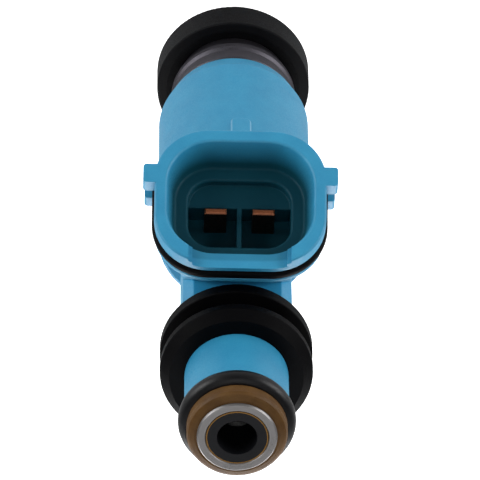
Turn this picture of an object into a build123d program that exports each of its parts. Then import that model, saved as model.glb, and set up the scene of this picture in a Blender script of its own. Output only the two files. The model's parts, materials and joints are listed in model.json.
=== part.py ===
from build123d import *
import os
from math import cos, radians, sin

# Top-feed electromagnetic fuel injector, made as its separate pieces. Lengths are in millimetres.
# Frame: the origin is on the injector's axis, at the nozzle-side face of the lower rubber ring;
# +Z runs along the axis towards the fuel inlet, and the electrical connector leans out over -Y.

# ---------------------------------------------------------------- driving dimensions
# Heights along the axis
INLET_Z = 71.6            # end face of the inlet tube
NECK_TOP_Z = 67.5         # end of the plastic neck under the inlet O-ring
GROMMET_TOP_Z = 60.65     # seat for the rim of the fuel rail's cup
STEM_TOP_Z = 55.1         # end of the square stem, under the grommet
SHOULDER_Z = 34.8         # step from the wide coil cover to the stem
TAPER_TOP_Z = 11.9        # start of the cone at the nozzle end of the coil cover
COVER_END_Z = 9.1         # nozzle-side end of the plastic
RING_HEIGHT = 3.7         # lower rubber ring
CORE_FACE_Z = 16.0        # pole face that the armature is pulled towards
NOZZLE_END_Z = -5.0       # face of the nozzle body that carries the orifice plate
CAP_END_Z = -6.6          # end of the plastic nozzle cap

# Radii about the axis
TUBE_R = 4.09             # inlet tube and magnet core
TUBE_BORE_R = 3.15        # bore that holds the filter
CORE_BORE_R = 1.5         # bore that holds the spring and the adjusting pipe
SPIGOT_R = 3.4            # reduced end of the core, inside the non-magnetic sleeve
NECK_R = 5.35
COVER_R = 8.1
COVER_END_R = 7.17
GROMMET_R = 7.88
RING_R = 8.33
RING_BORE_R = 5.25
HOUSING_R = 6.6
HOUSING_BORE_R = 5.75
NOZZLE_R = 3.1            # nozzle body in its holder
FILTER_BORE_R = 2.05

# Moving needle and armature
NEEDLE_LIFT = 0.075
LIFT_MARGIN = 0.005       # what is left between collar and stopper at full lift
NEEDLE_R = 1.0
GUIDE_BORE_R = 1.5
GUIDE_CLEARANCE = 0.04
ARMATURE_CLEARANCE = 0.06
SEAT_CLEARANCE = 0.03     # radial gap that stands for the closed seat
SEAT_APEX_Z = -4.3        # point of the needle's 90 degree cone

# Electrical connector
LEAN = radians(60.0)      # angle between the injector's axis and the connector's axis
RIM_Y = -16.8
RIM_Z = 52.46
RIM_WIDTH = 17.6
RIM_HEIGHT = 15.4
RIM_CORNER_R = 5.6
LIP_DEPTH = 1.9           # rim to seal groove
GROOVE_WIDTH = 1.6
GROOVE_DEPTH = 0.8
FLANGE_THICKNESS = 0.6
SEAL_PROUD = 0.22
LEDGE_DEPTH = 3.9
SHELF_DEPTH = 4.9
FLOOR_DEPTH = 7.6
SHELF_EDGE = -1.13        # height across the connector where the shelf gives way to the cavities
POCKET_WIDTH = 10.55
POCKET_HEIGHT = 7.62
WEB_THICKNESS = 0.52
BLADE_WIDTH = 2.28
BLADE_THICKNESS = 0.64
BLADE_PITCH = 4.94
BLADE_TIP_DEPTH = 3.28
STEM_WIDTH = 11.3
STEM_DEPTH = 11.6
STEM_CHAMFER = 1.1

FRONT_LUG_REACH = 9.98    # half of the width over the front teeth of the two side lugs
REAR_LUG_REACH = 9.78
LUG_LOW = -3.56           # span of a lug across the connector
LUG_HIGH = -1.44

OUTWARD = (0, -sin(LEAN), cos(LEAN))
RIM_PLANE = Plane(origin=(0, RIM_Y, RIM_Z), x_dir=(1, 0, 0), z_dir=OUTWARD)
CONNECTOR_AXIS = Axis(RIM_PLANE.origin, -RIM_PLANE.z_dir)

os.makedirs("parts", exist_ok=True)


# ---------------------------------------------------------------- helpers
def turn(outline, mode=Mode.ADD):
    """Revolve a closed outline of (radius, height) points about the injector's axis."""
    with BuildSketch(Plane.XZ) as profile:
        with BuildLine():
            Polyline(*outline, close=True)
        make_face()
    revolve(profile.sketch, axis=Axis.Z, mode=mode)


def tube(outer_r, inner_r, low, high, mode=Mode.ADD):
    """A plain ring about the injector's axis."""
    turn([(inner_r, low), (outer_r, low), (outer_r, high), (inner_r, high)], mode)


def behind_rim(depth):
    """The plane across the connector at a depth behind its rim; +Y there points to the inlet."""
    return RIM_PLANE.offset(-depth)


def shroud_block(width, height, corner_r, depth, length, taper=0):
    """A rounded rectangular block inside the connector, from one depth backwards."""
    with BuildSketch(behind_rim(depth)) as section:
        RectangleRounded(width, height, corner_r)
    extrude(section.sketch, amount=-length, taper=taper)


def edges_at(builder, depth):
    """Edges that lie flat across the connector at one depth behind its rim."""
    flat = builder.edges().filter_by(RIM_PLANE)
    return flat.filter_by_position(CONNECTOR_AXIS, depth - 0.01, depth + 0.01)


def save(builder, name):
    """Label a finished piece and write it out."""
    builder.part.label = name
    export_step(builder.part, f"parts/{name}.step")


# ---------------------------------------------------------------- nozzle end
RING_DISH_R = 7.3         # the upper face of the rubber ring dips inside this radius
RING_DISH_Z = 3.2
RING_EDGE_R = 0.2

with BuildPart() as lower_insulator:
    turn([
        (RING_BORE_R, 0),
        (RING_R, 0),
        (RING_R, RING_HEIGHT),
        (RING_DISH_R, RING_HEIGHT),
        (RING_DISH_R - 1.1, RING_DISH_Z),
        (RING_BORE_R, RING_DISH_Z),
    ])
    rims = lower_insulator.edges().filter_by(GeomType.CIRCLE).filter_by(lambda e: e.radius > RING_R - 0.01)
    fillet(rims, radius=RING_EDGE_R)
save(lower_insulator, "lower_insulator")

HOLDER_FOOT_Z = -1.0
HOLDER_NECK_R = 6.1
HOLDER_FLANGE_R = 6.75
FLANGE_LOW_Z = 5.1
HOUSING_LOW_Z = 6.35
STOPPER_LOW_Z = 5.5
STOPPER_TOP_Z = 6.7
SLEEVE_LOW_Z = 11.5
SLEEVE_TOP_Z = 18.0
HOLDER_TOP_Z = 16.6
ARMATURE_BORE_R = 3.45

with BuildPart() as nozzle_holder:
    turn([
        (NOZZLE_R, HOLDER_FOOT_Z),
        (4.7, HOLDER_FOOT_Z),
        (RING_BORE_R, HOLDER_FOOT_Z + 0.55),
        (RING_BORE_R, RING_DISH_Z),
        (HOLDER_NECK_R, RING_DISH_Z),
        (HOLDER_NECK_R, FLANGE_LOW_Z - 0.3),
        (HOLDER_FLANGE_R - 0.15, FLANGE_LOW_Z),
        (HOLDER_FLANGE_R, FLANGE_LOW_Z + 0.15),
        (HOLDER_FLANGE_R, HOUSING_LOW_Z - 0.45),
        (HOLDER_FLANGE_R - 0.45, HOUSING_LOW_Z),
        (HOUSING_BORE_R, HOUSING_LOW_Z),
        (HOUSING_BORE_R, HOLDER_TOP_Z),
        (TUBE_R, HOLDER_TOP_Z),
        (TUBE_R, SLEEVE_LOW_Z),
        (ARMATURE_BORE_R, SLEEVE_LOW_Z),
        (ARMATURE_BORE_R, STOPPER_TOP_Z),
        (NOZZLE_R, STOPPER_TOP_Z),
    ])
save(nozzle_holder, "nozzle_holder")

SEAT_TOP_Z = SEAT_APEX_Z + GUIDE_BORE_R - SEAT_CLEARANCE
METERING_R = 0.45
COLLAR_LOW_Z = 4.6
COLLAR_BORE_R = 1.9

with BuildPart() as nozzle_body:
    turn([
        (METERING_R, NOZZLE_END_Z),
        (NOZZLE_R, NOZZLE_END_Z),
        (NOZZLE_R, STOPPER_LOW_Z),
        (COLLAR_BORE_R, STOPPER_LOW_Z),
        (COLLAR_BORE_R, COLLAR_LOW_Z - 0.2),
        (GUIDE_BORE_R, COLLAR_LOW_Z - 0.2),
        (GUIDE_BORE_R, SEAT_TOP_Z),
        (METERING_R, SEAT_TOP_Z - GUIDE_BORE_R + METERING_R),
    ])
save(nozzle_body, "nozzle_body")

PLATE_R = 2.6
PLATE_THICKNESS = 0.3
SPRAY_HOLE_R = 0.12
SPRAY_CIRCLE_R = 0.28

with BuildPart() as orifice_plate:
    with BuildSketch(Plane.XY.offset(NOZZLE_END_Z)):
        Circle(PLATE_R)
        with PolarLocations(SPRAY_CIRCLE_R, 4, start_angle=45):
            Circle(SPRAY_HOLE_R, mode=Mode.SUBTRACT)
    extrude(amount=-PLATE_THICKNESS)
save(orifice_plate, "orifice_plate")

CAP_R = 4.3
CAP_TOP_Z = -1.2
CAP_MOUTH_R = 1.9
CAP_LIP_TOP_Z = NOZZLE_END_Z - PLATE_THICKNESS

with BuildPart() as nozzle_cap:
    turn([
        (CAP_MOUTH_R + 0.6, CAP_END_Z),
        (CAP_R - 0.6, CAP_END_Z),
        (CAP_R, CAP_END_Z + 0.9),
        (CAP_R, CAP_TOP_Z - 0.3),
        (CAP_R - 0.3, CAP_TOP_Z),
        (NOZZLE_R, CAP_TOP_Z),
        (NOZZLE_R, NOZZLE_END_Z),
        (PLATE_R, NOZZLE_END_Z),
        (PLATE_R, CAP_LIP_TOP_Z),
        (CAP_MOUTH_R, CAP_LIP_TOP_Z),
        (CAP_MOUTH_R, CAP_END_Z + 0.4),
    ])
save(nozzle_cap, "nozzle_cap")

STOPPER_HOLE_R = 1.25

with BuildPart() as stopper_plate:
    with BuildSketch(Plane.XY.offset(STOPPER_LOW_Z)):
        Circle(NOZZLE_R - 0.02)
        Circle(STOPPER_HOLE_R, mode=Mode.SUBTRACT)
        with Locations((NOZZLE_R / 2, 0)):
            Rectangle(NOZZLE_R, 2 * STOPPER_HOLE_R, mode=Mode.SUBTRACT)
    extrude(amount=STOPPER_TOP_Z - STOPPER_LOW_Z)
save(stopper_plate, "stopper_plate")

# ---------------------------------------------------------------- moving needle assembly
NEEDLE_TOP_Z = 12.5
COLLAR_TOP_Z = STOPPER_LOW_Z - NEEDLE_LIFT - LIFT_MARGIN
COLLAR_R = 1.6
LAND_LOW_Z = 1.0
LAND_TOP_Z = 3.0

with BuildPart() as needle:
    turn([
        (0, SEAT_APEX_Z),
        (NEEDLE_R, SEAT_APEX_Z + NEEDLE_R),
        (NEEDLE_R, LAND_LOW_Z),
        (GUIDE_BORE_R - GUIDE_CLEARANCE, LAND_LOW_Z + 0.3),
        (GUIDE_BORE_R - GUIDE_CLEARANCE, LAND_TOP_Z),
        (NEEDLE_R, LAND_TOP_Z + 0.3),
        (NEEDLE_R, COLLAR_LOW_Z),
        (COLLAR_R, COLLAR_LOW_Z),
        (COLLAR_R, COLLAR_TOP_Z),
        (NEEDLE_R, COLLAR_TOP_Z),
        (NEEDLE_R, NEEDLE_TOP_Z),
        (0, NEEDLE_TOP_Z),
    ])
save(needle, "needle")

ARMATURE_LOW_Z = 9.6
ARMATURE_TOP_Z = CORE_FACE_Z - 0.13
SPRING_POCKET_R = 1.45
SPRING_SEAT_Z = 13.5
FUEL_HOLE_R = 0.4
FUEL_HOLE_CIRCLE_R = 2.3

with BuildPart() as armature:
    turn([
        (NEEDLE_R, ARMATURE_LOW_Z),
        (SPIGOT_R - ARMATURE_CLEARANCE, ARMATURE_LOW_Z),
        (SPIGOT_R - ARMATURE_CLEARANCE, ARMATURE_TOP_Z),
        (SPRING_POCKET_R, ARMATURE_TOP_Z),
        (SPRING_POCKET_R, SPRING_SEAT_Z),
        (NEEDLE_R - 0.2, SPRING_SEAT_Z),
        (NEEDLE_R - 0.2, NEEDLE_TOP_Z),
        (NEEDLE_R, NEEDLE_TOP_Z),
    ])
    with BuildSketch(Plane.XY.offset(ARMATURE_LOW_Z)):
        with PolarLocations(FUEL_HOLE_CIRCLE_R, 3, start_angle=90):
            Circle(FUEL_HOLE_R)
    extrude(amount=ARMATURE_TOP_Z - ARMATURE_LOW_Z, mode=Mode.SUBTRACT)
save(armature, "armature")

SPRING_WIRE_R = 0.17
SPRING_R = 1.13
SPRING_PITCH = 0.9
SPRING_GAP = 0.02
PIPE_LOW_Z = 22.0
SPRING_START_Z = SPRING_SEAT_Z + SPRING_WIRE_R + SPRING_GAP
SPRING_HEIGHT = PIPE_LOW_Z - SPRING_WIRE_R - SPRING_GAP - SPRING_START_Z

with BuildPart() as return_spring:
    with BuildLine():
        coil_path = Helix(SPRING_PITCH, SPRING_HEIGHT, SPRING_R, center=(0, 0, SPRING_START_Z))
    with BuildSketch(Plane(origin=coil_path @ 0, z_dir=coil_path % 0)):
        Circle(SPRING_WIRE_R)
    sweep(path=coil_path, is_frenet=True)
save(return_spring, "return_spring")

# ---------------------------------------------------------------- magnet
with BuildPart() as guide_sleeve:
    tube(TUBE_R, SPIGOT_R, SLEEVE_LOW_Z, SLEEVE_TOP_Z)
save(guide_sleeve, "guide_sleeve")

BOBBIN_BORE_R = 4.15
BARREL_R = 4.6
BOBBIN_R = 5.65
BOBBIN_LOW_Z = 17.0
BOBBIN_TOP_Z = 31.6
BOBBIN_LOW_FLANGE = 1.0
BOBBIN_TOP_FLANGE = 1.2
SEAL_WIRE_R = 0.33
SEAL_RECESS = 0.7
SEAL_RECESS_R = 4.8

with BuildPart() as coil_bobbin:
    turn([
        (BOBBIN_BORE_R, BOBBIN_LOW_Z + SEAL_RECESS),
        (SEAL_RECESS_R, BOBBIN_LOW_Z + SEAL_RECESS),
        (SEAL_RECESS_R, BOBBIN_LOW_Z),
        (BOBBIN_R, BOBBIN_LOW_Z),
        (BOBBIN_R, BOBBIN_LOW_Z + BOBBIN_LOW_FLANGE),
        (BARREL_R, BOBBIN_LOW_Z + BOBBIN_LOW_FLANGE),
        (BARREL_R, BOBBIN_TOP_Z - BOBBIN_TOP_FLANGE),
        (BOBBIN_R, BOBBIN_TOP_Z - BOBBIN_TOP_FLANGE),
        (BOBBIN_R, BOBBIN_TOP_Z),
        (SEAL_RECESS_R, BOBBIN_TOP_Z),
        (SEAL_RECESS_R, BOBBIN_TOP_Z - SEAL_RECESS),
        (BOBBIN_BORE_R, BOBBIN_TOP_Z - SEAL_RECESS),
    ])
save(coil_bobbin, "coil_bobbin")

WINDING_R = 5.4
WINDING_GAP = 0.05

with BuildPart() as coil_winding:
    tube(
        WINDING_R,
        BARREL_R,
        BOBBIN_LOW_Z + BOBBIN_LOW_FLANGE + WINDING_GAP,
        BOBBIN_TOP_Z - BOBBIN_TOP_FLANGE - WINDING_GAP,
    )
save(coil_winding, "coil_winding")

SEAL_MID_R = TUBE_R + SEAL_WIRE_R + 0.02


def bobbin_seal(name, height):
    """A small O-ring between the bobbin and the core, centred at a height."""
    with BuildPart() as seal:
        with BuildSketch(Plane.XZ) as section:
            with Locations((SEAL_MID_R, height)):
                Circle(SEAL_WIRE_R)
        revolve(section.sketch, axis=Axis.Z)
    save(seal, name)


bobbin_seal("bobbin_seal_upper", BOBBIN_TOP_Z - SEAL_RECESS / 2)
bobbin_seal("bobbin_seal_lower", BOBBIN_LOW_Z + SEAL_RECESS / 2)

HOUSING_TOP_Z = 33.0
BEAD_R = 6.72
BEAD_LOW_Z = 7.75
BEAD_TOP_Z = 8.2

with BuildPart() as magnetic_housing:
    turn([
        (HOUSING_BORE_R, HOUSING_LOW_Z),
        (HOUSING_R - 0.1, HOUSING_LOW_Z),
        (HOUSING_R, HOUSING_LOW_Z + 0.1),
        (HOUSING_R, BEAD_LOW_Z - 0.12),
        (BEAD_R, BEAD_LOW_Z),
        (BEAD_R, BEAD_TOP_Z - 0.12),
        (HOUSING_R, BEAD_TOP_Z),
        (HOUSING_R, HOUSING_TOP_Z),
        (HOUSING_BORE_R, HOUSING_TOP_Z),
    ])
save(magnetic_housing, "magnetic_housing")

YOKE_LOW_Z = 31.8
YOKE_TOP_Z = 32.8
YOKE_SLOT_WIDTH = 7.4

with BuildPart() as yoke_plate:
    with BuildSketch(Plane.XY.offset(YOKE_LOW_Z)):
        Circle(HOUSING_BORE_R)
        Circle(TUBE_R, mode=Mode.SUBTRACT)
        with Locations((0, -HOUSING_BORE_R)):
            Rectangle(YOKE_SLOT_WIDTH, 4.2, mode=Mode.SUBTRACT)
    extrude(amount=YOKE_TOP_Z - YOKE_LOW_Z)
save(yoke_plate, "yoke_plate")

# ---------------------------------------------------------------- fuel path
TIP_EDGE = 0.14
CORE_BORE_TOP_Z = 36.0
FILTER_BORE_LOW_Z = 56.2
MIDDLE_BORE_R = 2.4

with BuildPart() as inlet_tube:
    turn([
        (CORE_BORE_R, CORE_FACE_Z),
        (SPIGOT_R, CORE_FACE_Z),
        (SPIGOT_R, SLEEVE_TOP_Z),
        (TUBE_R, SLEEVE_TOP_Z),
        (TUBE_R, INLET_Z - TIP_EDGE),
        (TUBE_R - TIP_EDGE, INLET_Z),
        (TUBE_BORE_R + TIP_EDGE, INLET_Z),
        (TUBE_BORE_R, INLET_Z - TIP_EDGE),
        (TUBE_BORE_R, FILTER_BORE_LOW_Z),
        (MIDDLE_BORE_R, FILTER_BORE_LOW_Z - 1.2),
        (MIDDLE_BORE_R, CORE_BORE_TOP_Z + 1.0),
        (CORE_BORE_R, CORE_BORE_TOP_Z),
    ])
save(inlet_tube, "inlet_tube")

with BuildPart() as adjusting_pipe:
    tube(CORE_BORE_R, 0.8, PIPE_LOW_Z, 34.0)
save(adjusting_pipe, "adjusting_pipe")

FILTER_FACE_Z = INLET_Z - 0.02
FILTER_HEAD_Z = FILTER_FACE_Z - 0.4
FILTER_HEAD_R = 3.05
CAGE_R = 2.7
CAGE_TOP_Z = 66.5
CAGE_LOW_Z = 58.5
CAGE_END_Z = 57.8
COLLAR_END_Z = 68.6
MESH_R = 2.3
MESH_THICKNESS = 0.15
RIB_WIDTH = 0.6

with BuildPart() as filter_collar:
    turn([
        (CAGE_R, COLLAR_END_Z),
        (TUBE_BORE_R, COLLAR_END_Z),
        (TUBE_BORE_R, FILTER_FACE_Z),
        (FILTER_HEAD_R, FILTER_FACE_Z),
        (FILTER_HEAD_R, FILTER_HEAD_Z),
        (CAGE_R, FILTER_HEAD_Z),
    ])
save(filter_collar, "filter_collar")

with BuildPart() as filter_frame:
    turn([
        (FILTER_BORE_R, CAGE_TOP_Z),
        (CAGE_R, CAGE_TOP_Z),
        (CAGE_R, FILTER_HEAD_Z),
        (FILTER_HEAD_R, FILTER_HEAD_Z),
        (FILTER_HEAD_R, FILTER_FACE_Z),
        (FILTER_BORE_R, FILTER_FACE_Z),
    ])
    with BuildSketch(Plane.XY.offset(CAGE_LOW_Z)):
        with PolarLocations((MESH_R + CAGE_R) / 2, 4, start_angle=45):
            Rectangle(CAGE_R - MESH_R, RIB_WIDTH)
    extrude(amount=CAGE_TOP_Z - CAGE_LOW_Z)
    turn([(0, CAGE_END_Z), (CAGE_R, CAGE_END_Z), (CAGE_R, CAGE_LOW_Z), (0, CAGE_LOW_Z)])
save(filter_frame, "filter_frame")

with BuildPart() as filter_mesh:
    tube(MESH_R, MESH_R - MESH_THICKNESS, CAGE_LOW_Z, CAGE_TOP_Z)
save(filter_mesh, "filter_mesh")

BACKUP_LOW_Z = 69.55
BACKUP_R = 5.14
BACKUP_HEIGHT = 1.78

with BuildPart() as backup_ring:
    turn([
        (TUBE_R, BACKUP_LOW_Z),
        (BACKUP_R - 0.1, BACKUP_LOW_Z),
        (BACKUP_R, BACKUP_LOW_Z + 0.12),
        (BACKUP_R, BACKUP_LOW_Z + BACKUP_HEIGHT - 0.55),
        (BACKUP_R - 0.16, BACKUP_LOW_Z + BACKUP_HEIGHT - 0.25),
        (BACKUP_R - 0.36, BACKUP_LOW_Z + BACKUP_HEIGHT - 0.14),
        (TUBE_R + 0.25, BACKUP_LOW_Z + BACKUP_HEIGHT),
        (TUBE_R, BACKUP_LOW_Z + BACKUP_HEIGHT),
    ])
save(backup_ring, "backup_ring")

INLET_O_RING_WIRE_R = 0.965
INLET_O_RING_Z = 68.55

with BuildPart() as inlet_o_ring:
    with BuildSketch(Plane.XZ) as wire:
        with Locations((TUBE_R + INLET_O_RING_WIRE_R, INLET_O_RING_Z)):
            Circle(INLET_O_RING_WIRE_R)
    revolve(wire.sketch, axis=Axis.Z)
save(inlet_o_ring, "inlet_o_ring")

GROOVE_FLOOR_R = 6.2
GROMMET_FLANGE = 1.5
GROMMET_LIP = 0.95        # height of the rim on the inlet side
GROMMET_SEAT_R = 6.9      # the seat is flat inside this radius and falls away outside it
GROMMET_LIP_Z = GROMMET_TOP_Z - 0.9
GROMMET_EDGE_R = 0.15

with BuildPart() as rail_grommet:
    turn([
        (NECK_R, STEM_TOP_Z),
        (GROMMET_R, STEM_TOP_Z),
        (GROMMET_R, STEM_TOP_Z + GROMMET_FLANGE),
        (GROOVE_FLOOR_R, STEM_TOP_Z + GROMMET_FLANGE),
        (GROOVE_FLOOR_R, GROMMET_LIP_Z - GROMMET_LIP),
        (GROMMET_R, GROMMET_LIP_Z - GROMMET_LIP),
        (GROMMET_R, GROMMET_LIP_Z),
        (GROMMET_SEAT_R, GROMMET_TOP_Z),
        (NECK_R, GROMMET_TOP_Z),
    ])
    rims = rail_grommet.edges().filter_by(GeomType.CIRCLE).filter_by(lambda e: e.radius > GROMMET_R - 0.01)
    fillet(rims, radius=GROMMET_EDGE_R)
save(rail_grommet, "rail_grommet")

# ---------------------------------------------------------------- terminals
# Each leg stands on the bobbin's upper flange, where the winding's end is soldered to it
LEG_WIDTH = 1.2
LEG_Y = -4.4
LEG_END_Z = BOBBIN_TOP_Z
TERMINAL_BEND_R = 1.2
TIP_CHAMFER = 0.16


def rim_point(depth):
    """A point of the connector's axis, as (y, z), at a depth behind its rim."""
    return (RIM_Y + depth * sin(LEAN), RIM_Z - depth * cos(LEAN))


BEND_DEPTH = (LEG_Y - RIM_Y) / sin(LEAN)


def terminal(name, centre_x):
    """A flat blade that runs in from the connector and bends down to the bobbin."""
    leg_top_z = rim_point(BEND_DEPTH)[1] - TERMINAL_BEND_R
    with BuildPart() as blade:
        with BuildSketch(Plane.YZ.offset(centre_x - BLADE_WIDTH / 2)) as strip:
            with BuildLine():
                FilletPolyline(
                    rim_point(BLADE_TIP_DEPTH),
                    rim_point(BEND_DEPTH),
                    (LEG_Y, LEG_END_Z),
                    radius=TERMINAL_BEND_R,
                )
            trace(line_width=BLADE_THICKNESS)
        extrude(amount=BLADE_WIDTH)
        tip = blade.faces().sort_by(Axis(RIM_PLANE.origin, OUTWARD))[-1]
        chamfer(tip.edges(), length=TIP_CHAMFER)
        with BuildSketch(Plane.XY.offset(LEG_END_Z)):
            with Locations((centre_x, LEG_Y)):
                Rectangle(2 * BLADE_WIDTH, 2 * BLADE_WIDTH)
                Rectangle(LEG_WIDTH, 2 * BLADE_WIDTH, mode=Mode.SUBTRACT)
        extrude(amount=leg_top_z - LEG_END_Z, mode=Mode.SUBTRACT)
    save(blade, name)
    return blade.part


terminals = [terminal("terminal_left", BLADE_PITCH / 2), terminal("terminal_right", -BLADE_PITCH / 2)]

# ---------------------------------------------------------------- plastic body with its connector
COVER_EDGE_R = 0.35
STEM_EDGE_R = 0.3
STRUT_LOW = -5.5          # span of the strut across the connector
STRUT_HIGH = 4.7
STRUT_LENGTH = 13.2
GROOVE_BACK = LIP_DEPTH + GROOVE_WIDTH
FLANGE_BACK = GROOVE_BACK + FLANGE_THICKNESS
BACK_TAPER = 44
BACK_TAPER_LENGTH = 2.3
BACK_WIDTH = 12.6
BACK_HEIGHT = 10.4
BACK_CORNER_R = 3.3
RIM_EDGE_R = 0.25
FLANGE_EDGE_R = 0.2
SOCKET_EDGE_R = 0.3
SHELF_EDGE_R = 0.15
OPENING_WIDTH = 15.1
OPENING_HEIGHT = 12.8
OPENING_CORNER_R = 4.9
LEDGE_WIDTH = 13.4
LEDGE_HEIGHT = 10.5
LEDGE_CORNER_R = 3.9
POCKET_CORNER_R = 2.5
CAVITY_CORNER_R = 0.4
NOTCH_STEPS = ((10.5, 0.5), (9.7, 1.1))    # width and depth of the two steps of the rim's notch
PAD_WIDTH = 2.05
PAD_X = -0.5
PAD_LOW_Z = 23.25
PAD_PROUD = 0.2
PAD_CORNER_R = 0.5
PAD_EDGE_R = 0.13


def lug(side, depth, length, inner, reach):
    """One tooth of a side lug, from a depth backwards."""
    width = reach - inner
    height = LUG_HIGH - LUG_LOW
    centre = (side * (inner + width / 2), (LUG_LOW + LUG_HIGH) / 2)
    with BuildSketch(behind_rim(depth)) as section:
        with Locations(centre):
            RectangleRounded(width, height, 0.35)
    extrude(section.sketch, amount=-length)


with BuildPart() as raised_pad:
    with BuildSketch(Plane.XZ):
        with Locations((PAD_X, (PAD_LOW_Z + SHOULDER_Z - 0.6) / 2)):
            RectangleRounded(PAD_WIDTH, SHOULDER_Z - 0.6 - PAD_LOW_Z, PAD_CORNER_R)
    extrude(amount=2 * COVER_R)
    with BuildSketch(Plane.XY) as cover_circle:
        Circle(COVER_R + PAD_PROUD)
    extrude(cover_circle.sketch, amount=SHOULDER_Z, mode=Mode.INTERSECT)
    fillet(raised_pad.faces().sort_by(Axis.Y)[0].edges(), radius=PAD_EDGE_R)

with BuildPart() as overmould_body:
    # coil cover, square stem and round neck
    turn([
        (0, COVER_END_Z),
        (COVER_END_R, COVER_END_Z),
        (COVER_R, TAPER_TOP_Z),
        (COVER_R, SHOULDER_Z),
        (0, SHOULDER_Z),
    ])
    fillet(overmould_body.edges().filter_by(GeomType.CIRCLE), radius=COVER_EDGE_R)
    add(raised_pad.part)
    with BuildSketch(Plane.XY.offset(SHOULDER_Z)) as stem_section:
        Rectangle(STEM_WIDTH, STEM_DEPTH)
        chamfer(stem_section.vertices(), length=STEM_CHAMFER)
        fillet(stem_section.vertices(), radius=STEM_EDGE_R)
    extrude(amount=STEM_TOP_Z - SHOULDER_Z)
    turn([
        (0, STEM_TOP_Z),
        (NECK_R, STEM_TOP_Z),
        (NECK_R, NECK_TOP_Z - 0.2),
        (NECK_R - 0.2, NECK_TOP_Z),
        (0, NECK_TOP_Z),
    ])

    # strut that carries the connector
    with BuildSketch(behind_rim(FLANGE_BACK)) as strut_section:
        with Locations((0, (STRUT_LOW + STRUT_HIGH) / 2)):
            Rectangle(STEM_WIDTH, STRUT_HIGH - STRUT_LOW)
        chamfer(strut_section.vertices(), length=STEM_CHAMFER)
        fillet(strut_section.vertices(), radius=STEM_EDGE_R)
    extrude(amount=-STRUT_LENGTH)

    # shroud from its rim backwards: lip, seal groove, flange and tapered back
    shroud_block(RIM_WIDTH, RIM_HEIGHT, RIM_CORNER_R, 0, LIP_DEPTH)
    fillet(edges_at(overmould_body, 0), radius=RIM_EDGE_R)
    shroud_block(RIM_WIDTH, RIM_HEIGHT, RIM_CORNER_R, GROOVE_BACK, FLANGE_THICKNESS)
    fillet(edges_at(overmould_body, LIP_DEPTH) + edges_at(overmould_body, GROOVE_BACK), radius=FLANGE_EDGE_R)
    shroud_block(
        RIM_WIDTH - 2 * GROOVE_DEPTH,
        RIM_HEIGHT - 2 * GROOVE_DEPTH,
        RIM_CORNER_R - GROOVE_DEPTH,
        LIP_DEPTH,
        GROOVE_WIDTH,
    )
    shroud_block(RIM_WIDTH, RIM_HEIGHT, RIM_CORNER_R, FLANGE_BACK, BACK_TAPER_LENGTH, taper=BACK_TAPER)
    fillet(edges_at(overmould_body, FLANGE_BACK), radius=FLANGE_EDGE_R)
    back_depth = FLANGE_BACK + BACK_TAPER_LENGTH - 0.6
    shroud_block(BACK_WIDTH, BACK_HEIGHT, BACK_CORNER_R, back_depth, 3.0)
    for side in (-1, 1):
        lug(side, 0, LIP_DEPTH, RIM_WIDTH / 2 - 0.6, FRONT_LUG_REACH)
        lug(side, GROOVE_BACK, GROOVE_WIDTH + 0.2, RIM_WIDTH / 2 - 2.0, REAR_LUG_REACH)

    # socket: tapered mouth, ledge, shallow recess and the two terminal cavities
    with BuildSketch(behind_rim(-0.01)) as mouth:
        RectangleRounded(OPENING_WIDTH, OPENING_HEIGHT, OPENING_CORNER_R)
    with BuildSketch(behind_rim(LEDGE_DEPTH)) as ledge:
        RectangleRounded(LEDGE_WIDTH, LEDGE_HEIGHT, LEDGE_CORNER_R)
    loft([mouth.sketch, ledge.sketch], mode=Mode.SUBTRACT)
    with BuildSketch(behind_rim(LEDGE_DEPTH)) as recess:
        RectangleRounded(POCKET_WIDTH, POCKET_HEIGHT, POCKET_CORNER_R)
    extrude(recess.sketch, amount=LEDGE_DEPTH - SHELF_DEPTH, mode=Mode.SUBTRACT)
    rim_face = overmould_body.faces().sort_by(CONNECTOR_AXIS)[0]
    fillet(rim_face.inner_wires()[0].edges() + edges_at(overmould_body, LEDGE_DEPTH), radius=SOCKET_EDGE_R)
    with BuildSketch(behind_rim(SHELF_DEPTH)) as cavities:
        RectangleRounded(POCKET_WIDTH, POCKET_HEIGHT, POCKET_CORNER_R)
        with Locations((0, SHELF_EDGE - POCKET_HEIGHT / 2)):
            Rectangle(POCKET_WIDTH, POCKET_HEIGHT, mode=Mode.SUBTRACT)
        Rectangle(WEB_THICKNESS, POCKET_HEIGHT, mode=Mode.SUBTRACT)
    extrude(cavities.sketch, amount=SHELF_DEPTH - FLOOR_DEPTH, mode=Mode.SUBTRACT)
    fillet(edges_at(overmould_body, SHELF_DEPTH), radius=SHELF_EDGE_R)
    for notch_width, notch_depth in NOTCH_STEPS:
        with BuildSketch(behind_rim(-0.01)) as notch:
            with Locations((0, RIM_HEIGHT / 2)):
                Rectangle(notch_width, OPENING_CORNER_R)
        extrude(notch.sketch, amount=-notch_depth, mode=Mode.SUBTRACT)

    # room for the steel pieces and the terminals inside
    tube(HOUSING_R, 0, COVER_END_Z, HOUSING_TOP_Z, Mode.SUBTRACT)
    tube(TUBE_R, 0, HOUSING_TOP_Z, NECK_TOP_Z, Mode.SUBTRACT)
    for piece in terminals:
        add(piece, mode=Mode.SUBTRACT)
save(overmould_body, "overmould_body")

SEAL_SIDE_GAP = 0.13
SEAL_ROUND = 0.6

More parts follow.
